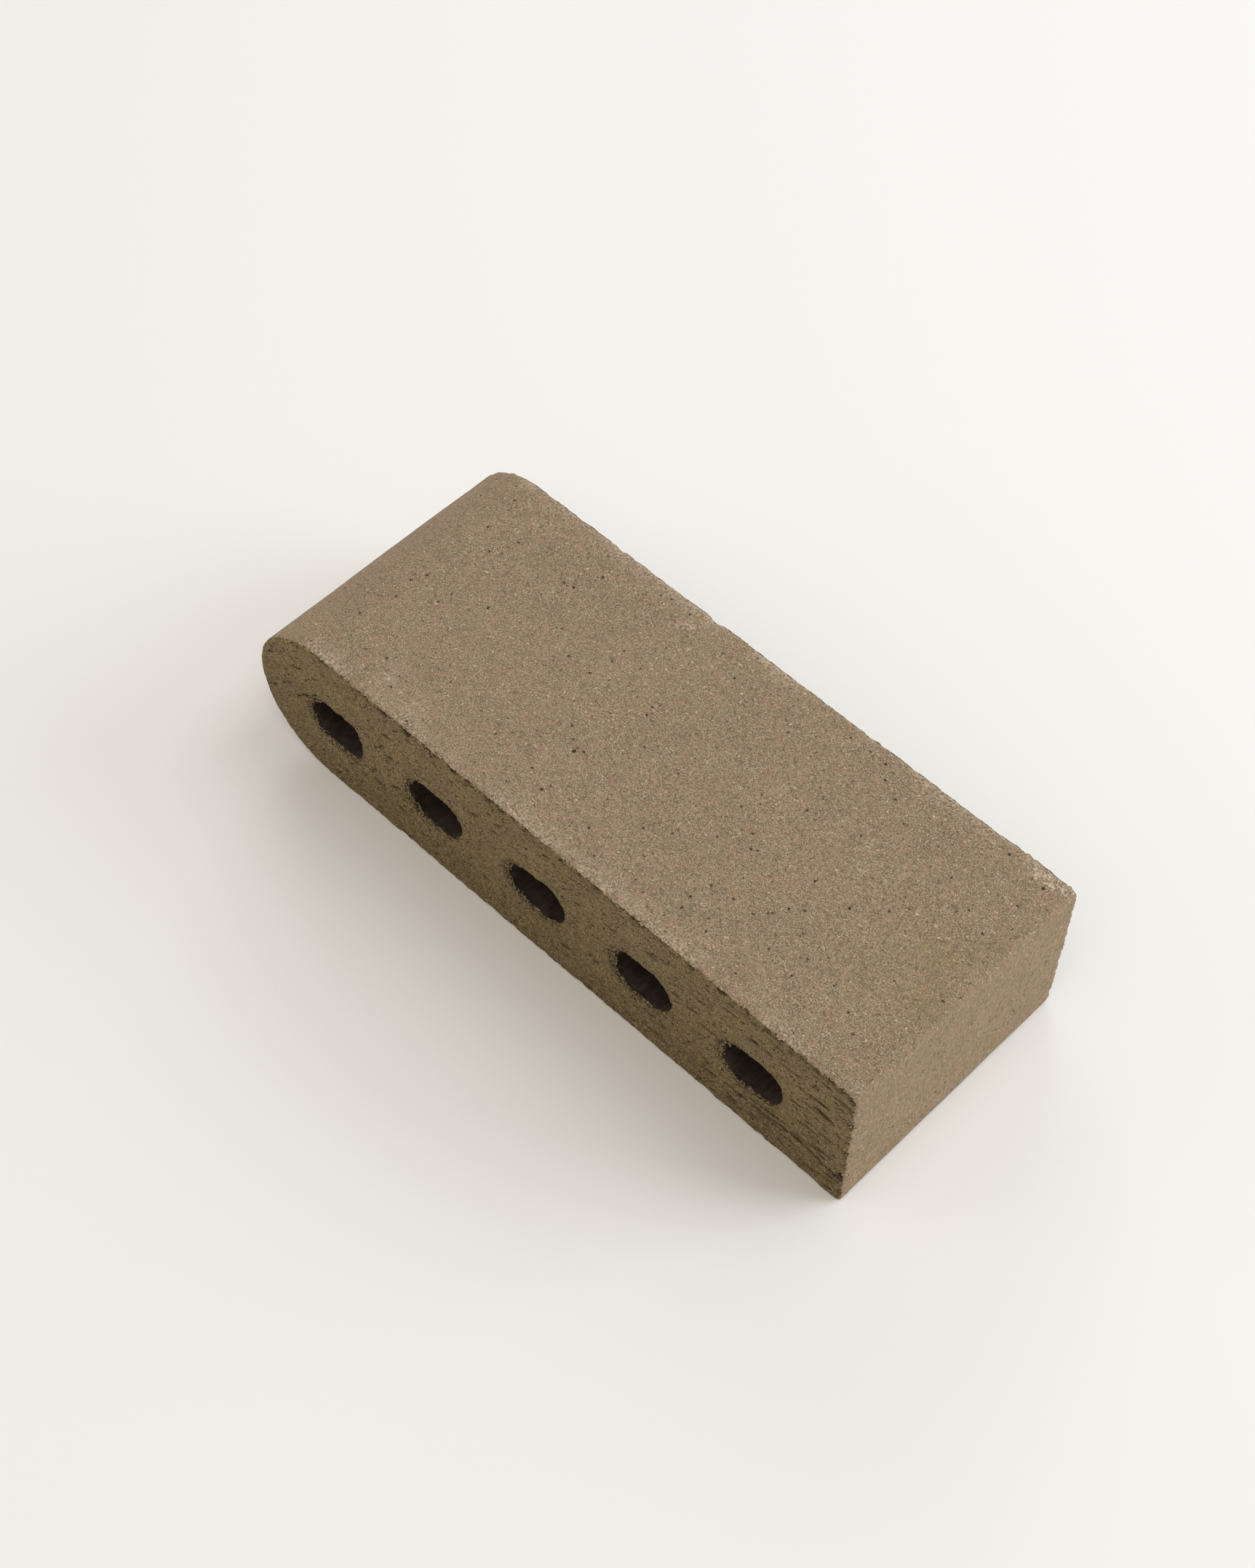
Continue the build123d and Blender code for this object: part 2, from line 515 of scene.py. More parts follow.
# Relief of the surface, in millimetres. Waves: height and size. Wear: depth, size of its waves and reach.
relief = {
    "warp": (0.20, 60.0),
    "swell": (0.12, 17.0),
    "skinGrain": (0.07, 2.4),
    "cutSwell": (0.20, 9.0),
    "dragHeight": 0.22,
    "dragSize": Vector((5.0, 1.1, 3.0)),  # of one drag ridge: along, across and deep
    "cutGrain": (0.15, 1.5),
    "calmEdge": (0.3, 3.0),  # share of the swells left at a cut face's outline, and how fast they grow
    "boreSwell": (0.30, 6.0),
    "boreGrain": (0.16, 2.0),
    "roundOver": (0.30, 1.0),  # depth and reach
    "farRoundOver": (0.80, 1.9),
    "nibble": (1.70, 2.7, 1.9),
    "crumb": (1.30, 1.1, 1.3),
    "grit": (1.00, 0.6, 1.0),
    "chip": (1.7, 11.0, 3.0),
    "chipLevel": 0.30,  # only waves higher than this break a chip out
    "chipShape": 1.3,
    "noseKept": 0.15,  # share of the wear that reaches the lower nose, and the bed
    "bedKept": 0.4,
    "bedWave": (0.8, 5.5, 2.4),
    "layerBreak": (2.2, 0.05, 2.4),  # of the upright arris: depth, least wave and reach
    "layerSize": (9.0, 9.0, 1.3),
    "mouthTear": (0.90, 1.7, 3.0),
    "mouthCrumb": (1.10, 0.9, 3.2),
    "mouthHollow": (0.7, 1.7, 1.5),
    "mouthRound": 0.15,
    "ragged": (0.2, 0.40, 0.75, 0.45),  # least share, middle, gain towards the nose and towards the bed
}
# Each wave is read from its own part of the noise, so that no two rise together
shifts = {
    "warp": 0.0, "swell": 5.5, "skinGrain": 9.0, "cutSwell": 2.2, "cutGrain": 8.1, "boreSwell": 1.2,
    "boreGrain": 6.1, "nibble": 3.1, "crumb": 5.3, "grit": 9.9, "chip": 7.7, "bedWave": 4.4,
    "mouthTear": 11.3, "mouthCrumb": 13.0, "mouthHollow": 6.6, "paleWave": 2.0,
}
# Where the wear changes, in millimetres
limits = {
    "arris": 4.0,  # depth of the worn band behind an arris
    "mouth": 4.0,  # and behind a core's mouth
    "farTop": 4.0,  # the far arris is rounder this near to the top,
    "farNose": 12.0,  # from this far along the nose
    "farEnd": 22.0,  # to this far from the square end
    "noseStart": 4.0,
    "noseTop": 10.0,
    "bed": 3.0,
    "end": 3.0,
    "top": 1.0,
}
# Where the colours change, as shares from 0 to 1, with reaches in millimetres
shading = {
    "streaked": (0.10, 1.1, -20.0),  # least share, gain, and the x from which the streaks grow
    "footShadeRun": 0.8,  # share of the thickness over which the foot of a cut face darkens: painted shade near the floor
    "lowTop": (0.6, 9.0),  # share and reach of the dark band under the top arris
    "sanded": (0.1, 1.5, 0.4),  # least share, gain and offset
    "worn": (1.3, 0.6, 2.6),  # gain, then share and reach of the band along an arris
    # how dark chips, tears and pits are painted: painted shade in their hollows, with the clay's dark iron
    "chipShadeAndStain": 1.5,
    "sinkShadeAndStain": 3.5,
    "torn": (1.8, 1.5, 3.0),  # gain, reach at a whole rim and what a ragged one adds
    "pale": (0.75, 9.0),  # share and reach along the long arrises of the top
    "paleWave": (0.6, 2.2, 14.0),  # middle, gain and size
}
flush = 0.05  # a point that near to a face counts as on it


def clamp(value, least=0.0):
    return max(least, min(1.0, value))


def wave(p, size, shift):  # smooth noise from -1 to 1 with waves of that size
    return noise.noise(Vector((p[0] / size + shift, p[1] / size + 1.7 * shift, p[2] / size - shift)))


def ripple(p, name):  # height of the named wave at p
    height, size = relief[name][:2]
    return height * wave(p, size, shifts[name])


def falloff(distance, reach):
    return max(0.0, 1 - distance / reach) ** 2


def wearShare(p):  # the lower nose and the bed kept more of their arris than the rest
    if p.x < noseCentre - limits["noseStart"] and p.z < midHeight + limits["noseTop"]:
        return relief["noseKept"]
    return relief["bedKept"] if p.z < limits["bed"] else 1.0


def arrisWear(p, arris):  # how much of an arris is gone at p, which lies that far from the edge
    onFarTop = p.y > 0 and p.z > thickness - limits["farTop"]
    isRounder = onFarTop and noseCentre - limits["farNose"] < p.x < halfLength - limits["farEnd"]
    depth, reach = relief["farRoundOver" if isRounder else "roundOver"]
    total = depth * falloff(arris, reach)
    share = wearShare(p)
    for name in ("nibble", "crumb", "grit", "chip"):
        depth, _, reach = relief[name]
        level = depth * relief["chipLevel"] if name == "chip" else 0.0
        total += share * max(0.0, ripple(p, name) - level) * falloff(arris, reach)
    if p.x > halfLength - limits["end"]:  # the upright arris breaks along the clay's layers
        depth, level, reach = relief["layerBreak"]
        layered = Vector([axis / size for axis, size in zip(p, relief["layerSize"])])
        total += depth * max(0.0, noise.noise(layered) - level) * falloff(arris, reach)
    if p.z < limits["bed"] and p.x > noseCentre + limits["noseStart"]:
        total += max(0.0, ripple(p, "bedWave")) * falloff(arris, relief["bedWave"][2])
    for chipPlace, depth, reach in chipPlaces:
        total += depth * max(0.0, 1 - (p - chipPlace).length / reach) ** relief["chipShape"]
    return total


def mouthPull(p, i, rim, ragged):  # outward pull of core i's mouth at p, which lies that far from the rim
    pull = ragged * ripple(p, "mouthTear")
    if p.y < 0:
        away = Vector((p.x - coreCentres[i], p.z - midHeight))
        for which, degrees, amount, half in mouthShape:
            out = Vector((math.cos(math.radians(degrees)), math.sin(math.radians(degrees))))
            if which == i and out.dot(away) > 0:
                pull += amount * max(0.0, 1 - abs(out.x * away.y - out.y * away.x) / half) ** mouthBlend
    return pull * falloff(rim, relief["mouthTear"][2])


def mouthRelief(p, rim):  # move, lift and torn share of a core's mouth at p, that far from the rim
    i = nearestCore(p.x)
    alongCore = max(-coreStraight, min(coreStraight, p.x - coreCentres[i]))
    out = Vector((p.x - coreCentres[i] - alongCore, 0, p.z - midHeight)).normalized()
    # the wire leaves the lower and the nose side of a mouth ragged
    least, middle, noseGain, bedGain = relief["ragged"]
    ragged = least + (1 - least) * clamp(middle - noseGain * out.x - bedGain * out.z)
    hollow = relief["mouthRound"] + ragged * max(0.0, ripple(p, "mouthHollow"))
    lift = ragged * ripple(p, "mouthCrumb") * falloff(rim, relief["mouthCrumb"][2])
    lift -= hollow * falloff(rim, relief["mouthHollow"][2])
    gain, reach, spread = shading["torn"]
    torn = gain * ragged * max(0.0, 1 - rim / (reach + spread * ragged))
    return out * mouthPull(p, i, rim, ragged), lift, torn


def cutFaceLift(p, drag, skin):  # swells, drag ridges and grain of a cut face
    least, reach = relief["calmEdge"]
    calm = min(1.0, least + skin / reach)  # the outline stays as the die drew it
    ridge = noise.noise(Vector([axis / size for axis, size in zip(drag, relief["dragSize"])]))
    return calm * (ripple(p, "cutSwell") + relief["dragHeight"] * ridge) + ripple(p, "cutGrain")


def shadeCutFace(p, index):
    least, gain, start = shading["streaked"]
    shares["streaked"][index] = clamp(least + gain * (p.x - start) / halfLength)
    share, reach = shading["lowTop"]
    # the foot of a cut face is darkened in its colour: painted shade near the floor
    footShade = max(0.0, 1 - p.z / (shading["footShadeRun"] * thickness))
    shares["low"][index] = footShade + share * falloff(thickness - p.z, reach)


def shadeDieSkin(p, index):
    least, gain, offset = shading["sanded"]
    shares["sanded"][index] = clamp(normals[index].z * gain - offset, least)
    shares["combed"][index] = 1 - shares["sanded"][index]
    if p.z < thickness - limits["top"]:
        return
    share, reach = shading["pale"]
    middle, gain, size = shading["paleWave"]
    patchy = clamp(middle + gain * wave(p, size, shifts["paleWave"]))
    shares["pale"][index] = share * falloff(halfWidth - abs(p.y), reach) * patchy
    for name in tints:
        for x, y, radius, strength in tints[name]:
            away = math.hypot(p.x + halfLength - x, p.y - y)
            shares[name][index] += strength * falloff(away, radius)
    for scratch in scratches:
        away, _ = segmentDistance(p.x, p.y, scratch)
        half, strength = scratch[4:]
        shares["pale"][index] += strength * max(0.0, 1 - away / half)


print("carving the relief")
nearTop = [(x, -halfWidth, thickness - nickDrop, depth, reach) for x, depth, reach in nicks]
chipPlaces = [(Vector((x - halfLength, y, z)), depth, reach) for x, y, z, depth, reach in chips + nearTop]
scratches = fromTip(marks["scratches"])
normals = [v.normal.copy() for v in mesh.vertices]
shareNames = ("worn", "stain", "torn", "sanded", "combed", "pale", "olive", "streaked", "low")
shares = {name: [0.0] * len(mesh.vertices) for name in shareNames}
drags = []
moves = []
for v in mesh.vertices:
    p = v.co
    cutDepth = halfWidth - abs(p.y)
    skin = skinDepth(p.x, p.z)
    core = coreDepth(p.x, p.z)
    onCut = cutDepth < flush
    onBore = core < flush and not onCut
    drag = dragPlace(p)
    drags.append(drag)
    lift = ripple(p, "warp") + ripple(p, "swell")
    move = Vector((0, 0, 0))
    if onCut:
        lift += cutFaceLift(p, drag, skin)
        shadeCutFace(p, v.index)
    elif onBore:
        lift += ripple(p, "boreSwell") + ripple(p, "boreGrain")
    else:
        lift += ripple(p, "skinGrain")
        shadeDieSkin(p, v.index)
    arris = max(cutDepth, skin)
    if not onBore and arris < limits["arris"]:
        worn = arrisWear(p, arris)
        lift -= worn
        gain, share, reach = shading["worn"]
        shares["worn"][v.index] = min(1.0, gain * worn + share * falloff(arris, reach))
        if onCut and p.y < 0:
            # a chip in the near cut face is darkened in its colour: painted shade in its hollow, with the
            # clay's dark iron
            chipShadesAndStains = [depth * (1 - (p - place).length / reach) for place, depth, reach in chipPlaces]
            shares["stain"][v.index] = max(0.0, shading["chipShadeAndStain"] * max(chipShadesAndStains))
    rim = max(cutDepth, core)
    if rim < limits["mouth"]:
        move, mouthLift, shares["torn"][v.index] = mouthRelief(p, rim)
        lift += mouthLift
    moves.append(move + normals[v.index] * lift)

tree = kdtree.KDTree(len(mesh.vertices))
for v in mesh.vertices:
    tree.insert(v.co, v.index)
tree.balance()


# A tear's shape: how steep its flanks are, how fast it deepens from its ends, and its depth there
tearShape = {"flank": 0.75, "rise": 3.2, "endShare": 0.25}
margin = 0.3  # how far past a mark its points are looked for
sharpAngle = 62  # degrees; only broken edges stay sharp


# sinks a point into a tear or pit and darkens its colour there: painted shade in the hollow, with the clay's
# dark iron
def sinkAt(index, depth, share):
    moves[index] -= normals[index] * depth * share
    stain = min(1.0, shading["sinkShadeAndStain"] * depth * share)
    shares["stain"][index] = max(shares["stain"][index], stain)


def carve(tears, pits, place, flat):  # pushes tears and pits into a face, which place and flat describe
    for tear in tears:
        u0, v0, u1, v1, half, depth = tear
        reach = math.hypot(u1 - u0, v1 - v0) / 2 + half
        middle = place((u0 + u1) / 2, (v0 + v1) / 2)
        for point, index, _ in tree.find_range(middle, reach + margin):
            uv = flat(point)
            if uv:
                away, along = segmentDistance(*uv, tear)
                taper = min(1.0, tearShape["rise"] * min(along, 1 - along) + tearShape["endShare"])
                sinkAt(index, depth, max(0.0, 1 - tearShape["flank"] * away / half) * taper)
    for u, v, radius, depth in pits:
        for point, index, _ in tree.find_range(place(u, v), radius + margin):
            uv = flat(point)
            if uv:
                away = math.hypot(uv[0] - u, uv[1] - v) / radius
                sinkAt(index, depth, max(0.0, 1 - away * away))


def onCutFace(p):
    return (p.x, p.z) if halfWidth - abs(p.y) < flush else None


def onTopFace(p):
    return (p.x, p.y) if thickness - p.z < flush else None


def onEndFace(p):
    return (p.y, p.z) if halfLength - p.x < flush else None


carve(nearTears, nearPits, lambda u, v: Vector((u, -halfWidth, v)), onCutFace)
carve(farTears, [], lambda u, v: Vector((u, halfWidth, v)), onCutFace)
carve(topTears, topPits, lambda u, v: Vector((u, v, thickness)), onTopFace)
carve([], marks["endPits"], lambda u, v: Vector((halfLength, u, v)), onEndFace)

faceKinds = []
for face in mesh.polygons:
    x, y, z = face.center
    if halfWidth - abs(y) < flush:
        faceKinds.append(1)  # cut by the wire
    else:
        faceKinds.append(2 if coreDepth(x, z) < skinDepth(x, z) else 0)
for v in mesh.vertices:
    v.co += moves[v.index]
    v.co.z = max(v.co.z, 0.0)  # the high points of the bed stand on the floor
for name, values in shares.items():
    shareLayer = mesh.attributes.new(name, "FLOAT", "POINT")
    shareLayer.data.foreach_set("value", [min(1.0, value) for value in values])
dragLayer = mesh.attributes.new("drag", "FLOAT_VECTOR", "POINT")
dragLayer.data.foreach_set("vector", [axis * mm for drag in drags for axis in drag])
mesh.transform(Matrix.Scale(mm, 4))
mesh.polygons.foreach_set("material_index", faceKinds)
mesh.shade_smooth()
mesh.set_sharp_from_angle(angle=math.radians(sharpAngle))
mesh.update()
paverClay = bpy.data.objects.new("paverClay", mesh)
bpy.context.scene.collection.objects.link(paverClay)


def hexToLinear(code):  # sRGB hex to the linear colour that Blender works in
    channels = [int(code[i:i + 2], 16) / 255 for i in (1, 3, 5)]
    return [c / 12.92 if c <= 0.04045 else ((c + 0.055) / 1.055) ** 2.4 for c in channels] + [1.0]


def addNode(tree, kind, settings, inputs):  # adds a node, sets its settings, and sets or links its inputs
    node = tree.nodes.new(kind)
    for name, value in settings.items():
        setattr(node, name, value)
    for name, value in inputs.items():
        if isinstance(value, bpy.types.NodeSocket):
            tree.links.new(value, node.inputs[name])
        else:
            node.inputs[name].default_value = value
    return node


layerShift = (3.7, -2.9, 1.3)  # each layer is read from its own part of the pattern,
bumpsFrom = 21  # and the bumps from other parts than the colours
cloudNoise = {"detail": 2.0, "roughness": 0.6}
speckEdge = 0.02  # softens the choice of the cells that hold a speck
speckCore = 0.5  # share of a speck's radius over which it has its full colour
grainShake = {"size": 0.9, "reach": 1.1}  # of the warp that keeps grains from being round, in millimetres
clayIor = 1.5  # typical of fired clay, and near enough for the floor


def patternShare(tree, places, layer, number):
    # 0 to 1 over the surface: "cloud" is soft noise cut between two levels, "grain" is scattered
    # specks, of which a share of the cells hold one, and any other name is a share kept on the mesh
    pattern = layer["pattern"]
    if pattern not in ("cloud", "grain"):
        share = addNode(tree, "ShaderNodeAttribute", {"attribute_name": pattern}, {}).outputs["Fac"]
    else:
        stretch = layer.get("stretch", (1, 1, 1))
        scaled = addNode(tree, "ShaderNodeMapping", {}, {
            "Vector": places[layer.get("over", pattern)],
            "Location": [number * axis for axis in layerShift],
            "Scale": [1 / (layer["size"] * mm * s) for s in stretch],
        }).outputs[0]
        low, high = layer["levels"]
        if pattern == "cloud":
            clouds = addNode(tree, "ShaderNodeTexNoise", {}, {
                "Vector": scaled, "Scale": 1.0, "Detail": cloudNoise["detail"],
                "Roughness": cloudNoise["roughness"]})
            share = addNode(tree, "ShaderNodeMapRange", {}, {
                "Value": clouds.outputs["Fac"], "From Min": low, "From Max": high}).outputs[0]
        else:
            cells = addNode(tree, "ShaderNodeTexVoronoi", {}, {"Vector": scaled, "Scale": 1.0})
            chosen = addNode(tree, "ShaderNodeMapRange", {}, {
                "Value": cells.outputs["Color"],
                "From Min": 1 - low - speckEdge,
                "From Max": 1 - low + speckEdge,
            }).outputs[0]
            inside = addNode(tree, "ShaderNodeMapRange", {}, {
                "Value": cells.outputs["Distance"],
                "From Min": high,
                "From Max": high * speckCore,
            }).outputs[0]
            share = addNode(tree, "ShaderNodeMath", {"operation": "MULTIPLY"}, {
                0: chosen, 1: inside}).outputs[0]
    if "within" in layer:
        within = addNode(tree, "ShaderNodeAttribute", {"attribute_name": layer["within"]}, {})
        share = addNode(tree, "ShaderNodeMath", {"operation": "MULTIPLY"}, {
            0: share, 1: within.outputs["Fac"]}).outputs[0]
    return share


def makeMaterial(settings):
    material = bpy.data.materials.new(settings["name"])
    material.use_nodes = True
    tree = material.node_tree
    tree.nodes.clear()
    shader = addNode(tree, "ShaderNodeBsdfPrincipled", {}, {
        "Roughness": settings["roughness"], "IOR": clayIor, "Specular IOR Level": settings["gloss"],
        "Base Color": hexToLinear(settings["base"]), "Sheen Weight": settings.get("sheen", 0.0),
        "Sheen Tint": hexToLinear(settings.get("sheenTint", "#ffffff"))})
    addNode(tree, "ShaderNodeOutputMaterial", {}, {"Surface": shader.outputs[0]})
    place = addNode(tree, "ShaderNodeTexCoord", {}, {}).outputs["Object"]
    # grains are drawn through a slightly warped space, so that none is round
    shaken = addNode(tree, "ShaderNodeTexNoise", {}, {
        "Vector": place, "Scale": 1 / (grainShake["size"] * mm), "Detail": 1.0})
    centred = addNode(tree, "ShaderNodeVectorMath", {"operation": "SUBTRACT"}, {
        0: shaken.outputs["Color"], 1: (0.5, 0.5, 0.5)}).outputs[0]
    small = addNode(tree, "ShaderNodeVectorMath", {"operation": "SCALE"}, {
        0: centred, "Scale": grainShake["reach"] * mm}).outputs[0]
    warped = addNode(tree, "ShaderNodeVectorMath", {"operation": "ADD"}, {0: place, 1: small}).outputs[0]
    drag = addNode(tree, "ShaderNodeAttribute", {"attribute_name": "drag"}, {}).outputs["Vector"]
    places = {"cloud": place, "grain": warped, "drag": drag}
    colour = hexToLinear(settings["base"])
    for number, layer in enumerate(settings.get("layers", [])):
        share = patternShare(tree, places, layer, number + 1)
        factor = addNode(tree, "ShaderNodeMath", {"operation": "MULTIPLY"}, {
            0: share, 1: layer["strength"]}).outputs[0]
        colour = addNode(tree, "ShaderNodeMix", {"data_type": "RGBA"}, {
            0: factor, 6: colour, 7: hexToLinear(layer["colour"])}).outputs[2]
        tree.links.new(colour, shader.inputs["Base Color"])
    normal = None
    for number, layer in enumerate(settings.get("bumps", [])):
        height = patternShare(tree, places, layer, number + bumpsFrom)
        inputs = {"Height": height, "Distance": layer["depth"] * mm}
        if normal:
            inputs["Normal"] = normal
        normal = addNode(tree, "ShaderNodeBump", {}, inputs).outputs[0]
        tree.links.new(normal, shader.inputs["Normal"])
    return material


# Fired clay as the die left it: a matt taupe skin, sandy on top and combed smoother on the ends, in
# which pink and olive clays show as soft patches, with cream grains and dark iron specks. Sizes are
# the real ones in millimetres, but the sand, judged at about 0.3 mm, is drawn at 0.42 to 0.45 mm,
# so that it shows.
firedClayDieSkin = {
    "name": "firedClayDieSkin",
    "base": "#957f64",
    "roughness": 0.9,
    "gloss": 0.25,
    "sheen": 0.08,
    "sheenTint": "#c2a57e",
    "layers": [
        {"pattern": "cloud", "size": 13, "levels": (0.44, 0.60), "strength": 0.5, "colour": "#85755b"},
        {"pattern": "cloud", "size": 7, "levels": (0.46, 0.64), "strength": 0.5, "colour": "#9b7d64"},
        {"pattern": "cloud", "size": 2.2, "levels": (0.50, 0.66), "strength": 0.55, "colour": "#766c51"},
        {"pattern": "cloud", "size": 2.6, "levels": (0.50, 0.66), "strength": 0.5, "colour": "#a68268"},
        {"pattern": "cloud", "size": 1.3, "levels": (0.56, 0.72), "strength": 0.6,
         "colour": "#5d5441", "within": "sanded"},
        {"pattern": "cloud", "size": 0.45, "levels": (0.46, 0.68), "strength": 0.8,
         "colour": "#b8a68d", "within": "sanded"},
        {"pattern": "cloud", "size": 0.42, "levels": (0.46, 0.68), "strength": 0.8,
         "colour": "#5a4b39", "within": "sanded"},
        {"pattern": "cloud", "size": 5.0, "levels": (0.50, 0.66), "strength": 0.35,
         "colour": "#7b7155", "within": "combed"},
        {"pattern": "cloud", "size": 0.8, "stretch": (1, 1, 2.5), "levels": (0.54, 0.70),
         "strength": 0.7, "colour": "#665642", "within": "combed"},
        {"pattern": "cloud", "size": 0.7, "stretch": (1, 1, 2), "levels": (0.54, 0.70),
         "strength": 0.65, "colour": "#bfa58a", "within": "combed"},
        {"pattern": "grain", "size": 1.7, "levels": (0.22, 0.24), "strength": 0.9,
         "colour": "#352b22", "within": "combed"},
        {"pattern": "olive", "strength": 0.55, "colour": "#83754d"},
        {"pattern": "cloud", "size": 1.1, "levels": (0.64, 0.74), "strength": 0.85, "colour": "#463e30"},
        {"pattern": "cloud", "size": 0.9, "levels": (0.65, 0.72), "strength": 0.75, "colour": "#d2c1a4"},
        {"pattern": "grain", "size": 4.0, "levels": (0.45, 0.15), "strength": 0.9, "colour": "#2b251f"},
        {"pattern": "grain", "size": 1.8, "levels": (0.50, 0.26), "strength": 0.9,
         "colour": "#b5a45f", "within": "olive"},
        {"pattern": "cloud", "size": 0.8, "levels": (0.46, 0.60), "strength": 0.9,
         "colour": "#d5c3aa", "within": "pale"},
        {"pattern": "cloud", "size": 0.9, "levels": (0.58, 0.68), "strength": 0.8,
         "colour": "#55473a", "within": "pale"},
        {"pattern": "worn", "strength": 0.3, "colour": "#ab9980"},
        {"pattern": "cloud", "size": 0.8, "levels": (0.54, 0.62), "strength": 0.8,
         "colour": "#4a3d30", "within": "worn"},
        {"pattern": "cloud", "size": 0.9, "levels": (0.60, 0.67), "strength": 0.8,
         "colour": "#b9a965", "within": "worn"},
        # painted shade in pits, tears and chips, with the clay's dark iron
        {"pattern": "stain", "strength": 0.85, "colour": "#362d27"},
    ],
    "bumps": [
        {"pattern": "cloud", "size": 1.4, "levels": (0.3, 0.7), "depth": 0.14},
        {"pattern": "cloud", "size": 0.45, "levels": (0.3, 0.7), "depth": 0.12, "within": "sanded"},
        {"pattern": "cloud", "size": 0.8, "stretch": (1, 1, 3), "levels": (0.3, 0.7), "depth": 0.10,
         "within": "combed"},
    ],
}

# Fired clay where the wire cut it: olive brown, speckled with small holes, streaked by the wire
# towards the square end, with dark crumbs of torn clay round the cores. Sizes are in millimetres.
firedClayWireCut = {
    "name": "firedClayWireCut",
    "base": "#887654",
    "roughness": 0.95,
    "gloss": 0.2,
    "layers": [
        {"pattern": "cloud", "size": 22, "levels": (0.44, 0.60), "strength": 0.5, "colour": "#7d6e4a"},
        {"pattern": "cloud", "size": 11, "levels": (0.46, 0.62), "strength": 0.6, "colour": "#816c58"},
        # darker olive towards the foot of a cut face, which is painted shade near the floor, and in a band
        # under the top arris
        {"pattern": "low", "strength": 0.85, "colour": "#655634"},
        {"pattern": "cloud", "size": 4.0, "levels": (0.54, 0.70), "strength": 0.4, "colour": "#5f4e3a"},
        {"pattern": "cloud", "size": 1.7, "levels": (0.48, 0.66), "strength": 0.4, "colour": "#a18d68"},
        {"pattern": "cloud", "over": "drag", "size": 0.55, "stretch": (7, 1, 2),
         "levels": (0.57, 0.70), "strength": 0.7, "colour": "#43361f", "within": "streaked"},
        {"pattern": "cloud", "over": "drag", "size": 0.6, "stretch": (2, 1, 1.5),
         "levels": (0.56, 0.70), "strength": 0.8, "colour": "#3a2f1c"},
        {"pattern": "cloud", "size": 0.42, "levels": (0.48, 0.66), "strength": 0.7, "colour": "#574a33"},
        {"pattern": "cloud", "size": 0.5, "levels": (0.54, 0.70), "strength": 0.7, "colour": "#b7a47c"},
        {"pattern": "cloud", "size": 0.9, "levels": (0.61, 0.67), "strength": 0.95, "colour": "#1a130a"},
        {"pattern": "cloud", "over": "drag", "size": 0.75, "stretch": (2.5, 1, 1.5),
         "levels": (0.62, 0.68), "strength": 0.95, "colour": "#1a130a"},
        {"pattern": "cloud", "size": 0.75, "levels": (0.61, 0.68), "strength": 0.65,
         "colour": "#b7a679"},
        {"pattern": "cloud", "size": 0.8, "levels": (0.45, 0.54), "strength": 0.95,
         "colour": "#20180f", "within": "torn"},
        {"pattern": "cloud", "size": 0.6, "levels": (0.60, 0.68), "strength": 0.8,
         "colour": "#a8955e", "within": "torn"},
        {"pattern": "cloud", "size": 0.8, "levels": (0.50, 0.60), "strength": 0.7,
         "colour": "#b5a47e", "within": "worn"},
        {"pattern": "cloud", "size": 0.9, "levels": (0.54, 0.62), "strength": 0.95,
         "colour": "#241b11", "within": "worn"},
        # painted shade in tears, pits and chips, with the clay's dark iron
        {"pattern": "stain", "strength": 0.9, "colour": "#221a11"},
    ],
    "bumps": [
        {"pattern": "cloud", "over": "drag", "size": 0.9, "stretch": (3, 1, 2), "levels": (0.3, 0.7),
         "depth": 0.18},
        {"pattern": "cloud", "size": 0.6, "levels": (0.3, 0.7), "depth": 0.24},
    ],
}

# Fired clay round a core bar: rough and dragged lengthwise, and painted almost black: painted shade of the
# core's inside
firedClayCoreBore = {
    "name": "firedClayCoreBore",
    "base": "#342c26",
    "roughness": 0.95,
    "gloss": 0.2,
    "layers": [
        {"pattern": "cloud", "size": 3.0, "levels": (0.45, 0.65), "strength": 0.6, "colour": "#281f18"},
        {"pattern": "cloud", "size": 1.4, "stretch": (1, 6, 1), "levels": (0.45, 0.65),
         "strength": 0.5, "colour": "#483b30"},
    ],
    "bumps": [
        {"pattern": "cloud", "size": 1.4, "stretch": (1, 5, 1), "levels": (0.3, 0.7), "depth": 0.3},
    ],
}

for settings in (firedClayDieSkin, firedClayWireCut, firedClayCoreBore):
    mesh.materials.append(makeMaterial(settings))
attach(paverClay, "root")
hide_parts("paver")
print("clay finished")

# Plain pale floor, matt
floorSettings = {"halfSize": 3.0}
mattWhiteFloor = {"name": "mattWhiteFloor", "base": "#eeece7", "roughness": 0.9, "gloss": 0.2}
half = floorSettings["halfSize"]
floorMesh = bpy.data.meshes.new("floor")
floorCorners = [(-half, -half, 0), (half, -half, 0), (half, half, 0), (-half, half, 0)]
floorMesh.from_pydata(floorCorners, [], [(0, 1, 2, 3)])
floorMesh.materials.append(makeMaterial(mattWhiteFloor))
floor = bpy.data.objects.new("floor", floorMesh)
bpy.context.scene.collection.objects.link(floor)

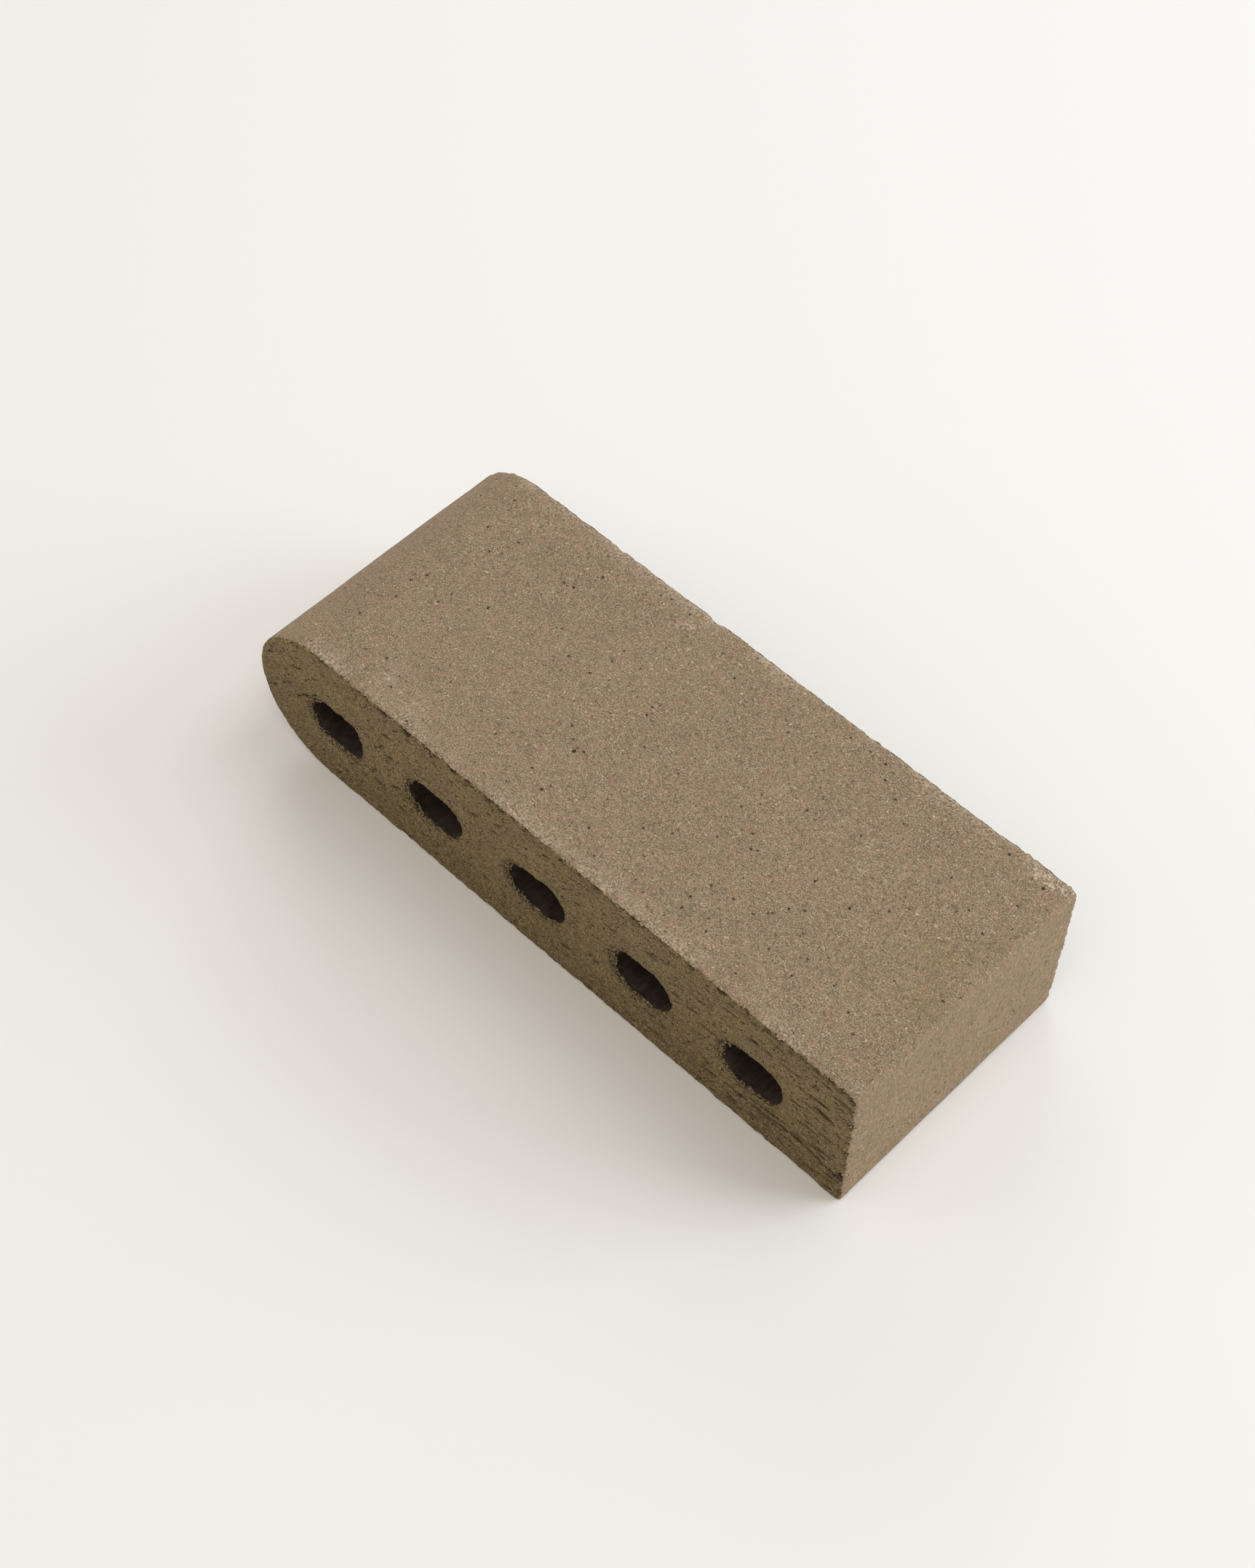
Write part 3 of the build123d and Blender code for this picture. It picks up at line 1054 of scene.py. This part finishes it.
# Soft studio light: a dim even surround, broad lamps on the +Y side and past the nose, and a warmer
# one high on the -Y side. Azimuths count from +X towards +Y.
surround = {"strength": 0.37, "colour": "#fffcf8"}
lampRange = {"distance": 2.2, "size": 1.35}
lamps = {
    "rearLow": {"azimuth": 45, "elevation": 20, "watts": 29.2, "colour": "#e9f5ff"},
    "rearHigh": {"azimuth": 60, "elevation": 65, "watts": 13.6, "colour": "#f2f9ff"},
    "leftLow": {"azimuth": 135, "elevation": 20, "watts": 15.0, "colour": "#f2f9ff"},
    "noseLow": {"azimuth": 225, "elevation": 20, "watts": 7.0, "colour": "#fff6ee"},
    "frontHigh": {"azimuth": 300, "elevation": 65, "watts": 12.8, "colour": "#fff0e8"},
}
world = bpy.data.worlds.new("studio")
bpy.context.scene.world = world
world.use_nodes = True
world.node_tree.nodes["Background"].inputs["Color"].default_value = hexToLinear(surround["colour"])
world.node_tree.nodes["Background"].inputs["Strength"].default_value = surround["strength"]
for name, settings in lamps.items():
    lamp = bpy.data.lights.new(name, "AREA")
    lamp.size = lampRange["size"]
    lamp.energy = settings["watts"]
    lamp.color = hexToLinear(settings["colour"])[:3]
    lampObject = bpy.data.objects.new(name, lamp)
    bpy.context.scene.collection.objects.link(lampObject)
    aim = Matrix.Rotation(math.radians(settings["azimuth"]), 4, "Z")
    aim @= Matrix.Rotation(math.radians(-settings["elevation"]), 4, "Y")
    lampObject.location = aim @ Vector((lampRange["distance"], 0, 0))
    lampObject.rotation_euler = lampObject.location.to_track_quat("Z", "Y").to_euler()

# Camera, fitted to the photograph: it looks down on the near cut face and the square end
view = {
    "place": (0.30527, -0.34066, 0.67937),
    "azimuth": 42.671,
    "elevation": 54.575,
    "roll": 1.719,
    "focalPixels": 3762.0,
    "frameHeight": 2156,
    "sensor": 36.0,
}
cameraData = bpy.data.cameras.new("camera")
cameraData.sensor_width = view["sensor"]
cameraData.lens = view["focalPixels"] * view["sensor"] / view["frameHeight"]
camera = bpy.data.objects.new("camera", cameraData)
bpy.context.scene.collection.objects.link(camera)
turn = Matrix.Rotation(math.radians(view["azimuth"]), 4, "Z")
turn @= Matrix.Rotation(math.radians(90 - view["elevation"]), 4, "X")
turn @= Matrix.Rotation(math.radians(view["roll"]), 4, "Z")
camera.matrix_world = Matrix.Translation(view["place"]) @ turn
bpy.context.scene.camera = camera
bpy.context.scene.view_settings.view_transform = "Standard"

print("ready")
